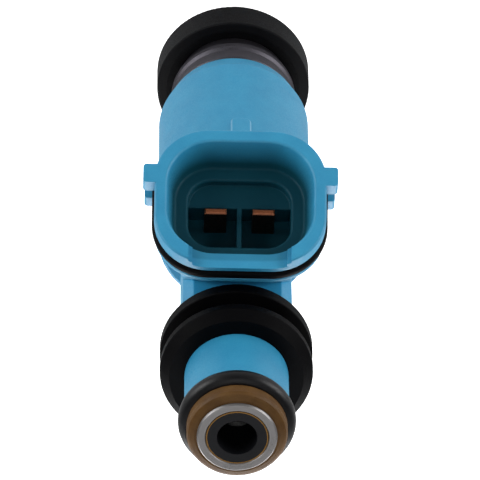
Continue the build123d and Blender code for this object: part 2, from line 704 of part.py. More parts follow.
with BuildPart() as connector_seal:
    with BuildSketch(behind_rim(LIP_DEPTH + SEAL_SIDE_GAP)):
        RectangleRounded(RIM_WIDTH + 2 * SEAL_PROUD, RIM_HEIGHT + 2 * SEAL_PROUD, RIM_CORNER_R + SEAL_PROUD)
    extrude(amount=-(GROOVE_WIDTH - 2 * SEAL_SIDE_GAP))
    fillet(connector_seal.edges(), radius=SEAL_ROUND)
    with BuildSketch(behind_rim(LIP_DEPTH)):
        RectangleRounded(
            RIM_WIDTH - 2 * GROOVE_DEPTH,
            RIM_HEIGHT - 2 * GROOVE_DEPTH,
            RIM_CORNER_R - GROOVE_DEPTH,
        )
    extrude(amount=-GROOVE_WIDTH, mode=Mode.SUBTRACT)
save(connector_seal, "connector_seal")
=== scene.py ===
# %% [markdown]
# # A fuel injector, finished and lit
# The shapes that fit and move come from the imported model. This lesson gives every piece the finish of its
# real material, makes the wire shapes that a plain model leaves out (the coil, the return spring and the
# filter's gauze), and sets up soft studio light. Lengths in Blender are metres, so millimetre values are
# multiplied by MM.

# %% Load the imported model
import json
from math import cos, radians, sin

import bmesh
import bpy
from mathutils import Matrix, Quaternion, Vector


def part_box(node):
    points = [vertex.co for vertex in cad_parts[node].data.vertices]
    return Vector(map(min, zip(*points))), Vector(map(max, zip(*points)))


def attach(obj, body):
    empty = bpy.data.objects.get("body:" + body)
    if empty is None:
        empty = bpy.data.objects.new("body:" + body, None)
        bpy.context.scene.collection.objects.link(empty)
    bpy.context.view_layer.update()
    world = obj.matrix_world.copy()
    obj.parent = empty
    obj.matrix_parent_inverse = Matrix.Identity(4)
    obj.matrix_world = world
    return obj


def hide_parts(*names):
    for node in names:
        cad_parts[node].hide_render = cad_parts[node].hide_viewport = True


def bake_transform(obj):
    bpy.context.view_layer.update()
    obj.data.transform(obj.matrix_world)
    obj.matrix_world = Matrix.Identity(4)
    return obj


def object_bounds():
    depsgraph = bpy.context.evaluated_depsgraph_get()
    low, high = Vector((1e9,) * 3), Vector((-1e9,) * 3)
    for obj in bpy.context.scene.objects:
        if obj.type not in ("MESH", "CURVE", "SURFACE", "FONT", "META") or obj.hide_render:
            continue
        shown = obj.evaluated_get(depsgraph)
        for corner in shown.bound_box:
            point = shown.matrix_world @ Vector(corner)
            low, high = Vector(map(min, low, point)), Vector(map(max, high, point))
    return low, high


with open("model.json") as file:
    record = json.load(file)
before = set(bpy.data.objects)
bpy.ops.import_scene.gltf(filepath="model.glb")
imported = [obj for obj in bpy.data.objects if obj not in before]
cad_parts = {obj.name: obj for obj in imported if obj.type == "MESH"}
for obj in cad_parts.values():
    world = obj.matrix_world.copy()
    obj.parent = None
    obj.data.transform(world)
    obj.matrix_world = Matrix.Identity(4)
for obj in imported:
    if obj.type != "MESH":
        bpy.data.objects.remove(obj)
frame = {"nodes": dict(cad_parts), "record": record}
cad_low, cad_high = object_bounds()
MM = 0.001
print("pieces in the packed model:", len(frame["nodes"]))
print("size in mm:", [round(side / MM, 2) for side in cad_high - cad_low])

# %% [markdown]
# ## Camera
# The injector is seen from above its connector, with the fuel inlet nearest to the lens. A long lens keeps
# the round ends nearly parallel. The camera is placed by two angles and a distance from the point it looks
# at. Then it is turned half round about its own axis, so that the inlet is at the bottom of the view.

# %% Place the camera
AZIMUTH = radians(2.3)
ELEVATION = radians(57.35)
ROLL = radians(179.25)
CAMERA_DISTANCE = 0.7
LENS = 496.2
CLIP_START = 0.01
AIM = Vector((-0.55, 0.0, 34.5)) * MM


def looking_from(azimuth, elevation):
    """The direction from the object towards a viewer."""
    return Vector((sin(azimuth) * cos(elevation), -cos(azimuth) * cos(elevation), sin(elevation)))


def turned_towards(direction, roll=0.0):
    """The rotation of a camera or lamp that looks along a direction."""
    return direction.to_track_quat("-Z", "Y") @ Quaternion((0, 0, 1), roll)


back = looking_from(AZIMUTH, ELEVATION)
camera = bpy.data.objects.new("camera", bpy.data.cameras.new("camera"))
bpy.context.scene.collection.objects.link(camera)
camera.data.lens = LENS
camera.data.clip_start = CLIP_START
camera.location = AIM + back * CAMERA_DISTANCE
camera.rotation_mode = "QUATERNION"
camera.rotation_quaternion = turned_towards(-back, ROLL)
bpy.context.scene.camera = camera

# %% [markdown]
# ## Node helpers
# A material and a Geometry Nodes tree are both graphs of nodes. These short helpers add one node at a time
# and either link its inputs or set them, so that the code of each finish reads like its recipe.


# %% Helpers that add nodes
def feed(tree, socket, value):
    """Link a socket to an input, or set a plain value on it."""
    if isinstance(value, bpy.types.NodeSocket):
        tree.links.new(value, socket)
    else:
        socket.default_value = value


def node(tree, kind, *values, **options):
    """Add a node, set its options and feed its inputs in order; None leaves an input as it is."""
    made = tree.nodes.new(kind)
    for option, value in options.items():
        setattr(made, option, value)
    for socket, value in zip(made.inputs, values):
        if value is not None:
            feed(tree, socket, value)
    return made


def maths(tree, operation, *values):
    """The result of one sum on numbers."""
    return node(tree, "ShaderNodeMath", *values, operation=operation).outputs[0]


def ranged(tree, value, low, high, to_low, to_high):
    """A value carried from one range into another, and held inside it."""
    return node(tree, "ShaderNodeMapRange", value, low, high, to_low, to_high).outputs[0]


def noise(tree, where, size, detail=2.0):
    """Smooth noise whose blotches are about one size across, in metres."""
    scale = maths(tree, "DIVIDE", 1.0, size)
    return node(tree, "ShaderNodeTexNoise", where, None, scale, detail).outputs[0]


def mixed(tree, factor, first, second):
    """A colour between two colours."""
    mix = tree.nodes.new("ShaderNodeMix")
    mix.data_type = "RGBA"
    for name, value in (("Factor_Float", factor), ("A_Color", first), ("B_Color", second)):
        feed(tree, next(s for s in mix.inputs if s.identifier == name), value)
    return next(s for s in mix.outputs if s.identifier == "Result_Color")


def new_group(name, kind, inputs, outputs):
    """An empty node group with named sockets; returns the group and its two end nodes."""
    group = bpy.data.node_groups.new(name, kind)
    for label, socket_kind, value in inputs:
        socket = group.interface.new_socket(label, in_out="INPUT", socket_type=socket_kind)
        if value is not None:
            socket.default_value = value
    for label, socket_kind in outputs:
        group.interface.new_socket(label, in_out="OUTPUT", socket_type=socket_kind)
    return group, group.nodes.new("NodeGroupInput"), group.nodes.new("NodeGroupOutput")


# %% [markdown]
# ## Shared surface effects
# Moulded plastic and rubber copy the fine etched grain of their steel mould, and their colour wanders a
# little where the melt flowed. Turned steel has fine rings about the axis. Handled parts gather dull marks.
# Each effect is one shader node group with named inputs, so that every finish sets its own values.

# %% The grain of a moulded surface
FLOAT, VECTOR, COLOUR = "NodeSocketFloat", "NodeSocketVector", "NodeSocketColor"
NOISE_SPREAD = (0.3, 0.7)        # where most of a noise's values lie
GRAIN_IN_COLOUR = 0.35           # how much the grain adds to the clouds of colour
COLOUR_SPREAD = (0.45, 0.95)

moulded_grain, start, end = new_group(
    "moulded grain",
    "ShaderNodeTree",
    [
        ("Place", VECTOR, None),
        ("Tone", COLOUR, (0.5, 0.5, 0.5, 1)),
        ("Shade", COLOUR, (0.4, 0.4, 0.4, 1)),
        ("Grain size", FLOAT, 0.12 * MM),
        ("Cloud size", FLOAT, 3 * MM),
        ("Gloss roughness", FLOAT, 0.35),
        ("Dull roughness", FLOAT, 0.5),
    ],
    [("Colour", COLOUR), ("Roughness", FLOAT), ("Height", FLOAT)],
)
grain = noise(moulded_grain, start.outputs["Place"], start.outputs["Grain size"])
clouds = noise(moulded_grain, start.outputs["Place"], start.outputs["Cloud size"], 3.0)
speckle = maths(moulded_grain, "MULTIPLY_ADD", grain, GRAIN_IN_COLOUR, clouds)
blend = ranged(moulded_grain, speckle, *COLOUR_SPREAD, 0.0, 1.0)
colour = mixed(moulded_grain, blend, start.outputs["Tone"], start.outputs["Shade"])
limits = (start.outputs["Gloss roughness"], start.outputs["Dull roughness"])
dullness = ranged(moulded_grain, grain, *NOISE_SPREAD, *limits)
feed(moulded_grain, end.inputs["Colour"], colour)
feed(moulded_grain, end.inputs["Roughness"], dullness)
feed(moulded_grain, end.inputs["Height"], grain)

# %% The rings of a turned surface
turning_rings, start, end = new_group(
    "turning rings",
    "ShaderNodeTree",
    [
        ("Place", VECTOR, None),
        ("Ring width", FLOAT, 0.05 * MM),
        ("Gloss roughness", FLOAT, 0.25),
        ("Dull roughness", FLOAT, 0.45),
    ],
    [("Roughness", FLOAT), ("Height", FLOAT)],
)
split = node(turning_rings, "ShaderNodeSeparateXYZ", start.outputs["Place"])
squares = [maths(turning_rings, "MULTIPLY", split.outputs[i], split.outputs[i]) for i in (0, 1)]
radius = maths(turning_rings, "SQRT", maths(turning_rings, "ADD", *squares))
across = node(turning_rings, "ShaderNodeCombineXYZ", radius, 0.0, split.outputs[2]).outputs[0]
rings = noise(turning_rings, across, start.outputs["Ring width"], 3.0)
limits = (start.outputs["Gloss roughness"], start.outputs["Dull roughness"])
dullness = ranged(turning_rings, rings, *NOISE_SPREAD, *limits)
feed(turning_rings, end.inputs["Roughness"], dullness)
feed(turning_rings, end.inputs["Height"], rings)

# %% Dull marks from handling
PATCH_SPREAD, FLECK_SPREAD = (0.5, 0.72), (0.48, 0.7)

handling_marks, start, end = new_group(
    "handling marks",
    "ShaderNodeTree",
    [("Place", VECTOR, None), ("Patch size", FLOAT, 4 * MM), ("Fleck size", FLOAT, 0.3 * MM)],
    [("Mask", FLOAT)],
)
large = noise(handling_marks, start.outputs["Place"], start.outputs["Patch size"], 3.0)
small = noise(handling_marks, start.outputs["Place"], start.outputs["Fleck size"])
patches = ranged(handling_marks, large, *PATCH_SPREAD, 0.0, 1.0)
flecks = ranged(handling_marks, small, *FLECK_SPREAD, 0.0, 1.0)
feed(handling_marks, end.inputs["Mask"], maths(handling_marks, "MULTIPLY", patches, flecks))
print("shared effects:", [g.name for g in bpy.data.node_groups])

# %% [markdown]
# ## Finishes
# A finish is a Principled BSDF whose colour, roughness and bump vary over the surface. What is the same
# all over, such as how strongly a rubber reflects, is a plain number on the shader's own socket.


# %% Helpers for finishes
MARKS_DULL = 0.12                # how much rougher a handling mark is on a moulded surface
PAINTED_SHADE_REFLECTS = 0.12             # the specular level where shade is painted in the socket
METAL_PATCH, METAL_FLECK = 2 * MM, 0.15 * MM


def linear_light(level):
    """One channel of a screen colour, 0 to 255, as linear light."""
    return level / 255 / 12.92 if level <= 10 else ((level / 255 + 0.055) / 1.055) ** 2.4


def tint(red, green, blue):
    """A colour given as it looks on a screen, as Blender's linear colour."""
    return (linear_light(red), linear_light(green), linear_light(blue), 1.0)


def new_finish(name):
    """An empty material: its tree, its shader and the surface's own coordinates."""
    finish = bpy.data.materials.new(name)
    finish.use_nodes = True
    tree = finish.node_tree
    place = tree.nodes.new("ShaderNodeTexCoord").outputs["Object"]
    return finish, tree, tree.nodes["Principled BSDF"], place


def use_group(tree, group, **values):
    """Place a shared effect in a finish. An input's name has its spaces written as underscores."""
    made = tree.nodes.new("ShaderNodeGroup")
    made.node_tree = group
    for name, value in values.items():
        feed(tree, made.inputs[name.replace("_", " ")], value)
    return made.outputs


def raise_surface(tree, shader, height, depth):
    """Let a height pattern stand out of the surface by a depth in metres."""
    bump = node(tree, "ShaderNodeBump")
    bump.inputs["Strength"].default_value = 1.0
    bump.inputs["Distance"].default_value = depth
    feed(tree, bump.inputs["Height"], height)
    feed(tree, shader.inputs["Normal"], bump.outputs[0])


def moulded(name, tone, shade, grain, cloud, gloss, dull, depth, reflects=0.5, painted_shade=None, painted_highlight=None):
    """A moulded plastic or rubber. It can have painted shade (mask, colour, density) and a painted highlight
    (mask, colour).
    """
    finish, tree, shader, place = new_finish(name)
    surface = use_group(
        tree,
        moulded_grain,
        Place=place,
        Tone=tone,
        Shade=shade,
        Grain_size=grain,
        Cloud_size=cloud,
        Gloss_roughness=gloss,
        Dull_roughness=dull,
    )
    marks = use_group(tree, handling_marks, Place=place, Patch_size=4 * cloud / 3, Fleck_size=3 * grain)
    worn = maths(tree, "MULTIPLY_ADD", marks["Mask"], MARKS_DULL, surface["Roughness"])
    colour = surface["Colour"]
    if painted_shade:
        mask, painted_shade_colour, density = painted_shade
        # painted shade: where the mask is 1, a darker colour is mixed in and the specular level drops
        in_painted_shade = mask(tree, place)
        colour = mixed(tree, maths(tree, "MULTIPLY", in_painted_shade, density), colour, painted_shade_colour)
        reflects = ranged(tree, in_painted_shade, 0.0, 1.0, reflects, PAINTED_SHADE_REFLECTS)
    # painted highlight: where the mask is 1, a pale colour is mixed in
    if painted_highlight:
        mask, highlight_colour = painted_highlight
        colour = mixed(tree, mask(tree, place), colour, highlight_colour)
    feed(tree, shader.inputs["Base Color"], colour)
    feed(tree, shader.inputs["Roughness"], worn)
    feed(tree, shader.inputs["Specular IOR Level"], reflects)
    raise_surface(tree, shader, surface["Height"], depth)
    return finish


def turned(name, tone, shade, ring, gloss, dull, depth):
    """A lathe-turned metal."""
    finish, tree, shader, place = new_finish(name)
    surface = use_group(
        tree, turning_rings, Place=place, Ring_width=ring, Gloss_roughness=gloss, Dull_roughness=dull
    )
    marks = use_group(tree, handling_marks, Place=place, Patch_size=METAL_PATCH, Fleck_size=METAL_FLECK)
    feed(tree, shader.inputs["Base Color"], mixed(tree, marks["Mask"], tone, shade))
    feed(tree, shader.inputs["Roughness"], surface["Roughness"])
    shader.inputs["Metallic"].default_value = 1.0
    raise_surface(tree, shader, surface["Height"], depth)
    return finish


# %% [markdown]
# The body is glass-filled nylon or polyester in a light blue, with a fine etched grain. Its socket is painted
# darker than the rest: a deep teal and a lower specular level stand in for the shade inside it. This painted
# shade is a mask: how deep a point lies behind the rim, times whether it lies inside the opening. The small
# raised pad on the front of the coil cover has a pale line round its edge, a painted highlight, which is a
# second mask.

# %% The painted shade in the socket
socket = next(m for m in frame["record"]["mounts"] if m["name"] == "connector_socket")
RIM_CENTRE = Vector(socket["pos_m"])
OUTWARD = Vector(socket["axis"])
ACROSS = OUTWARD.cross(Vector((1, 0, 0)))
OPENING = (7.9 * MM, 6.8 * MM)   # half its width and half its height
# depths behind the rim where the painted shade starts and where it is full
PAINTED_SHADE_START, PAINTED_SHADE_FULL = 0.2 * MM, 3.2 * MM
LEDGE_DEPTH, CAVITY_END = 4.25 * MM, 7.65 * MM
POCKET_SHARE = 0.72              # how much narrower the socket is past its ledge
CORNER_POWER = 4.0               # makes the mask's outline a rounded rectangle
OUTLINE_SPREAD = (0.95, 1.1)
STEP = 0.1 * MM


def inside_socket(tree, place):
    """A mask of painted shade that is 1 deep inside the connector's socket and 0 on all outer faces."""
    from_rim = node(tree, "ShaderNodeVectorMath", place, RIM_CENTRE, operation="SUBTRACT").outputs[0]
    depth = node(tree, "ShaderNodeVectorMath", from_rim, -OUTWARD, operation="DOT_PRODUCT").outputs["Value"]
    share = ranged(tree, depth, LEDGE_DEPTH, LEDGE_DEPTH + STEP, 1.0, POCKET_SHARE)
    powers = []
    for direction, half in ((Vector((1, 0, 0)), OPENING[0]), (ACROSS, OPENING[1])):
        span = node(tree, "ShaderNodeVectorMath", from_rim, direction / half, operation="DOT_PRODUCT")
        relative = maths(tree, "DIVIDE", maths(tree, "ABSOLUTE", span.outputs["Value"]), share)
        powers.append(maths(tree, "POWER", relative, CORNER_POWER))
    inside = ranged(tree, maths(tree, "ADD", *powers), *OUTLINE_SPREAD, 1.0, 0.0)
    painted_shade = ranged(tree, depth, PAINTED_SHADE_START, PAINTED_SHADE_FULL, 0.0, 1.0)
    before_back = ranged(tree, depth, CAVITY_END, CAVITY_END + STEP, 1.0, 0.0)
    return maths(tree, "MULTIPLY", maths(tree, "MULTIPLY", inside, painted_shade), before_back)


# %% The painted highlight on the pad's edge
PAD_MIDDLE, PAD_HALF, PAD_LOW, PAD_CORNER = -0.5 * MM, 1.025 * MM, 23.25 * MM, 0.5 * MM
PAD_END, PAD_FRONT = 34.0 * MM, -7.5 * MM
LINE_CORE, LINE_EDGE = 0.02 * MM, 0.12 * MM
HIGHLIGHT_STRENGTH = 0.55


def pad_edge_highlight(tree, place):
    """A mask of a painted highlight, a pale line round the edge of the small pad on the coil cover."""
    across, outwards, along = node(tree, "ShaderNodeSeparateXYZ", place).outputs
    sideways = maths(tree, "ABSOLUTE", maths(tree, "SUBTRACT", across, PAD_MIDDLE))
    past_side = maths(tree, "SUBTRACT", sideways, PAD_HALF - PAD_CORNER)
    past_end = maths(tree, "SUBTRACT", PAD_LOW + PAD_CORNER, along)
    squares = []
    for past in (past_side, past_end):
        squares.append(maths(tree, "POWER", maths(tree, "MAXIMUM", past, 0.0), 2.0))
    round_corner = maths(tree, "SQRT", maths(tree, "ADD", *squares))
    within = maths(tree, "MINIMUM", maths(tree, "MAXIMUM", past_side, past_end), 0.0)
    from_outline = maths(tree, "SUBTRACT", maths(tree, "ADD", round_corner, within), PAD_CORNER)
    painted_highlight = ranged(tree, maths(tree, "ABSOLUTE", from_outline), LINE_CORE, LINE_EDGE, HIGHLIGHT_STRENGTH, 0.0)
    on_front = ranged(tree, outwards, PAD_FRONT - STEP, PAD_FRONT, 1.0, 0.0)
    on_cover = ranged(tree, along, PAD_END, PAD_END + STEP, 1.0, 0.0)
    return maths(tree, "MULTIPLY", painted_highlight, maths(tree, "MULTIPLY", on_front, on_cover))


# %% Blue plastic
blue_overmould = moulded(
    "blue_overmould",
    tone=tint(46, 144, 183),
    shade=tint(38, 134, 175),
    grain=0.16 * MM,
    cloud=2.6 * MM,
    gloss=0.42,
    dull=0.58,
    depth=0.008 * MM,
    # painted shade in the socket: a deep teal
    painted_shade=(inside_socket, tint(3, 44, 48), 0.9),
    # painted highlight round the pad's edge: a pale blue
    painted_highlight=(pad_edge_highlight, tint(150, 200, 226)),
)

# %% Other plastics and rubbers
black_rubber = moulded(
    "black_rubber",
    tone=tint(9, 9, 12),
    shade=tint(5, 5, 7),
    grain=0.12 * MM, cloud=2.2 * MM, gloss=0.3, dull=0.5, depth=0.006 * MM, reflects=0.3,
)
ring_rubber = moulded(
    "ring_rubber",
    tone=tint(12, 12, 15),
    shade=tint(8, 8, 10),
    grain=0.12 * MM, cloud=2.2 * MM, gloss=0.55, dull=0.72, depth=0.006 * MM, reflects=0.12,
)
grommet_rubber = moulded(
    "grommet_rubber",
    tone=tint(4, 4, 6),
    shade=tint(2, 2, 3),
    grain=0.12 * MM, cloud=2.2 * MM, gloss=0.5, dull=0.66, depth=0.006 * MM, reflects=0.06,
)
tan_plastic = moulded(
    "tan_plastic",
    tone=tint(98, 70, 36),
    shade=tint(78, 53, 25),
    grain=0.1 * MM, cloud=1.6 * MM, gloss=0.4, dull=0.55, depth=0.005 * MM, reflects=0.16,
)
filter_plastic = moulded(
    "filter_plastic",
    tone=tint(18, 19, 23),
    shade=tint(12, 13, 16),
    grain=0.1 * MM, cloud=1.2 * MM, gloss=0.45, dull=0.6, depth=0.006 * MM, reflects=0.15,
)
bobbin_plastic = moulded(
    "bobbin_plastic",
    tone=tint(34, 34, 36),
    shade=tint(24, 24, 26),
    grain=0.12 * MM, cloud=2 * MM, gloss=0.45, dull=0.6, depth=0.006 * MM,
)
cap_plastic = moulded(
    "cap_plastic",
    tone=tint(38, 38, 40),
    shade=tint(26, 26, 28),
    grain=0.12 * MM, cloud=2 * MM, gloss=0.42, dull=0.58, depth=0.006 * MM,
)

# %% [markdown]
# Metals: the tube is bright stainless steel, the magnet's parts are a greyer steel, and the filter's collar
# is brass. The gauze and the spring are drawn wire, which is smoother than a turned face.

# %% Metals
stainless = turned(
    "stainless",
    tone=tint(142, 140, 140),
    shade=tint(108, 106, 106),
    ring=0.06 * MM, gloss=0.34, dull=0.52, depth=0.004 * MM,
)
dark_steel = turned(
    "dark_steel",
    tone=tint(84, 82, 88),
    shade=tint(60, 58, 64),
    ring=0.08 * MM, gloss=0.42, dull=0.6, depth=0.004 * MM,
)
filter_brass = turned(
    "filter_brass",
    tone=tint(176, 132, 74),
    shade=tint(120, 84, 44),
    ring=0.04 * MM, gloss=0.25, dull=0.4, depth=0.003 * MM,
)
filter_gauze = turned(
    "filter_gauze",
    tone=tint(150, 150, 150),
    shade=tint(105, 105, 108),
    ring=0.03 * MM, gloss=0.25, dull=0.4, depth=0.001 * MM,
)
spring_steel = turned(
    "spring_steel",
    tone=tint(150, 148, 146),
    shade=tint(96, 92, 90),
    ring=0.03 * MM, gloss=0.18, dull=0.32, depth=0.001 * MM,
)
winding_copper = turned(
    "winding_copper",
    tone=tint(184, 98, 52),
    shade=tint(140, 66, 34),
    ring=0.05 * MM, gloss=0.2, dull=0.34, depth=0.001 * MM,
)

# %% [markdown]
# The blades are stamped from tinned copper strip. Tin covers their faces, but the sheared end is bare, so
# the tip is orange. The pattern is a soft step along the connector's axis.

# %% Tinned blades with bare copper tips
BARE_LENGTH = 0.17 * MM
RAGGED_SIZE, RAGGED_DEPTH = 0.15 * MM, 0.3 * MM
BLADE_DEPTH = 0.004 * MM
BLADE_METALLIC = 0.85
blade_points = [v.co for v in frame["nodes"]["terminal_left"].data.vertices]
tip_reach = max(p.dot(OUTWARD) for p in blade_points)


def blade_finish():
    """Tin over copper, bare at the tip."""
    finish, tree, shader, place = new_finish("terminal_copper")
    along = node(tree, "ShaderNodeVectorMath", place, OUTWARD, operation="DOT_PRODUCT").outputs["Value"]
    ragged = maths(tree, "MULTIPLY_ADD", noise(tree, place, RAGGED_SIZE), RAGGED_DEPTH, along)
    bare = ranged(tree, ragged, tip_reach - BARE_LENGTH, tip_reach + BARE_LENGTH, 0.0, 1.0)
    surface = use_group(
        tree,
        moulded_grain,
        Place=place,
        Tone=tint(72, 58, 50),
        Shade=tint(44, 35, 31),
        Grain_size=0.08 * MM,
        Cloud_size=0.6 * MM,
        Gloss_roughness=0.25,
        Dull_roughness=0.42,
    )
    feed(tree, shader.inputs["Base Color"], mixed(tree, bare, surface["Colour"], tint(150, 90, 60)))
    feed(tree, shader.inputs["Roughness"], surface["Roughness"])
    shader.inputs["Metallic"].default_value = BLADE_METALLIC
    raise_surface(tree, shader, surface["Height"], BLADE_DEPTH)
    return finish


terminal_copper = blade_finish()

# %% [markdown]
# ## Wire that is wound and woven
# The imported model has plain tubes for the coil's winding and for the filter's gauze. On the real object one
# is enamelled copper wire in tight layers, and the other is a woven steel sleeve. Both repeat by a rule, so
# Geometry Nodes make them: a spiral swept with a round section, and hoops crossed by upright wires. Each
# tree has named inputs for its sizes, and its result is kept as a plain mesh.

# %% Helpers for trees that make shapes
COUNT, MATERIAL, GEOMETRY = "NodeSocketInt", "NodeSocketMaterial", "NodeSocketGeometry"
WIRE_SIDES = 6
TURN_STEPS = 36
HOOP_STEPS = 48


def named(tree, kind, **values):
    """Add a node and feed its inputs by name, with underscores for spaces."""
    made = tree.nodes.new(kind)
    for name, value in values.items():
        feed(tree, made.inputs[name.replace("_", " ")], value)
    return made


def wire_along(tree, path, wire):
    """Sweep a round wire of a diameter along a curve."""
    radius = maths(tree, "DIVIDE", wire, 2.0)
    section = named(tree, "GeometryNodeCurvePrimitiveCircle", Resolution=WIRE_SIDES, Radius=radius)
    profile = section.outputs[0]
    swept = named(tree, "GeometryNodeCurveToMesh", Curve=path, Profile_Curve=profile, Fill_Caps=True)
    return swept.outputs[0]


def close_tree(tree, start, end, *parts):
    """Join the parts, smooth them, make the instances real and give them the tree's material."""
    join = tree.nodes.new("GeometryNodeJoinGeometry")
    for part in parts:
        tree.links.new(part, join.inputs[0])
    smooth = named(tree, "GeometryNodeSetShadeSmooth", Geometry=join.outputs[0])
    real = named(tree, "GeometryNodeRealizeInstances", Geometry=smooth.outputs[0])
    dressed = named(
        tree, "GeometryNodeSetMaterial", Geometry=real.outputs[0], Material=start.outputs["Material"]
    )
    feed(tree, end.inputs["Geometry"], dressed.outputs[0])


def grow(name, tree, **values):
    """Run a tree once and keep what it makes as a plain mesh object."""
    seed = bpy.data.objects.new("seed", bpy.data.meshes.new("seed"))
    bpy.context.scene.collection.objects.link(seed)
    modifier = seed.modifiers.new("grow", "NODES")
    modifier.node_group = tree
    for socket in tree.interface.items_tree:
        key = socket.name.replace(" ", "_")
        if socket.in_out == "INPUT" and key in values:
            modifier[socket.identifier] = values[key]
    graph = bpy.context.evaluated_depsgraph_get()
    mesh = bpy.data.meshes.new_from_object(seed.evaluated_get(graph))
    bpy.data.objects.remove(seed)
    grown = bpy.data.objects.new(name, mesh)
    bpy.context.scene.collection.objects.link(grown)
    print(name, "faces:", len(mesh.polygons))
    return grown


def stands_for(piece, cad_node):
    """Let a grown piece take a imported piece's place on the injector's body."""
    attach(piece, "injector_body")
    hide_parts(cad_node)


# %% The tree of one wound layer
wound_layer, start, end = new_group(
    "wound layer",
    "GeometryNodeTree",
    [
        ("Radius", FLOAT, 5 * MM),
        ("Wire", FLOAT, 0.2 * MM),
        ("Pitch", FLOAT, 0.2 * MM),
        ("Turns", FLOAT, 10.0),
        ("Bottom", FLOAT, 0.0),
        ("Material", MATERIAL, None),
    ],
    [("Geometry", GEOMETRY)],
)
spiral = named(
    wound_layer,
    "GeometryNodeCurveSpiral",
    Resolution=TURN_STEPS,
    Rotations=start.outputs["Turns"],
    Start_Radius=start.outputs["Radius"],
    End_Radius=start.outputs["Radius"],
    Height=maths(wound_layer, "MULTIPLY", start.outputs["Turns"], start.outputs["Pitch"]),
)
foot = node(wound_layer, "ShaderNodeCombineXYZ", 0.0, 0.0, start.outputs["Bottom"])
raised = named(
    wound_layer, "GeometryNodeTransform", Geometry=spiral.outputs[0], Translation=foot.outputs[0]
)
close_tree(wound_layer, start, end, wire_along(wound_layer, raised.outputs[0], start.outputs["Wire"]))

# %% Wind the coil, one layer on another
COIL_WIRE = 0.26 * MM
LAYERS = 3
NESTING = 0.87                   # a layer sinks between the turns of the one below
coil_low, coil_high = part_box("coil_winding")
winding_height = coil_high.z - coil_low.z
winding_mesh = bmesh.new()
for layer in range(LAYERS):
    turns = int(winding_height / COIL_WIRE) - 1 - layer % 2
    wound = grow(
        "wound_layer",
        wound_layer,
        Radius=coil_high.x - COIL_WIRE / 2 - layer * COIL_WIRE * NESTING,
        Wire=COIL_WIRE,
        Pitch=COIL_WIRE,
        Turns=float(turns),
        Bottom=(coil_low.z + coil_high.z - turns * COIL_WIRE) / 2,
        Material=winding_copper,
    )
    winding_mesh.from_mesh(wound.data)
    bpy.data.objects.remove(wound)
winding = bpy.data.objects.new("coil_winding_turns", bpy.data.meshes.new("coil_winding_turns"))
winding_mesh.to_mesh(winding.data)
winding_mesh.free()
winding.data.materials.append(winding_copper)
bpy.context.scene.collection.objects.link(winding)
stands_for(winding, "coil_winding")

# %% [markdown]
# The return spring stands on the armature and pushes on the adjusting pipe, which doesn't move. It is
# wound with the same tree.

# %% Wind the return spring
SPRING_WIRE = 0.34 * MM
SPRING_TURNS = 9.0
spring_low, spring_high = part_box("return_spring")
spring_foot = spring_low.z + SPRING_WIRE / 2
spring_height = spring_high.z - spring_low.z - SPRING_WIRE
return_spring = grow(
    "return_spring_wire",
    wound_layer,
    Radius=spring_high.x - SPRING_WIRE / 2,
    Wire=SPRING_WIRE,
    Pitch=spring_height / SPRING_TURNS,
    Turns=SPRING_TURNS,
    Bottom=spring_foot,
    Material=spring_steel,
)
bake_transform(return_spring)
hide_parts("return_spring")

# %% The tree of a woven sleeve
CROSSING = 0.4                   # how far hoops and uprights stand either side of the sleeve, in wires

woven_sleeve, start, end = new_group(
    "woven sleeve",
    "GeometryNodeTree",
    [
        ("Radius", FLOAT, 2 * MM),
        ("Wire", FLOAT, 0.1 * MM),
        ("Bottom", FLOAT, 0.0),
        ("Height", FLOAT, 8 * MM),
        ("Hoops", COUNT, 10),
        ("Uprights", COUNT, 12),
        ("Material", MATERIAL, None),
    ],
    [("Geometry", GEOMETRY)],
)
half_wire = maths(woven_sleeve, "MULTIPLY", start.outputs["Wire"], CROSSING)
gaps = maths(woven_sleeve, "SUBTRACT", start.outputs["Hoops"], 1.0)
spacing = maths(woven_sleeve, "DIVIDE", start.outputs["Height"], gaps)
foot = node(woven_sleeve, "ShaderNodeCombineXYZ", 0.0, 0.0, start.outputs["Bottom"]).outputs[0]
step_up = node(woven_sleeve, "ShaderNodeCombineXYZ", 0.0, 0.0, spacing).outputs[0]
levels = named(
    woven_sleeve, "GeometryNodeMeshLine", Count=start.outputs["Hoops"], Start_Location=foot, Offset=step_up
)
hoop_radius = maths(woven_sleeve, "SUBTRACT", start.outputs["Radius"], half_wire)
hoop = named(woven_sleeve, "GeometryNodeCurvePrimitiveCircle", Resolution=HOOP_STEPS, Radius=hoop_radius)
hoops = named(
    woven_sleeve,
    "GeometryNodeInstanceOnPoints",
    Points=levels.outputs[0],
    Instance=wire_along(woven_sleeve, hoop.outputs[0], start.outputs["Wire"]),
)
top = maths(woven_sleeve, "ADD", start.outputs["Bottom"], start.outputs["Height"])
head = node(woven_sleeve, "ShaderNodeCombineXYZ", 0.0, 0.0, top).outputs[0]
upright = named(woven_sleeve, "GeometryNodeCurvePrimitiveLine", Start=foot, End=head)
upright_radius = maths(woven_sleeve, "ADD", start.outputs["Radius"], half_wire)
places = named(
    woven_sleeve, "GeometryNodeMeshCircle", Vertices=start.outputs["Uprights"], Radius=upright_radius
)
uprights = named(
    woven_sleeve,
    "GeometryNodeInstanceOnPoints",
    Points=places.outputs[0],
    Instance=wire_along(woven_sleeve, upright.outputs[0], start.outputs["Wire"]),
)
close_tree(woven_sleeve, start, end, hoops.outputs[0], uprights.outputs[0])

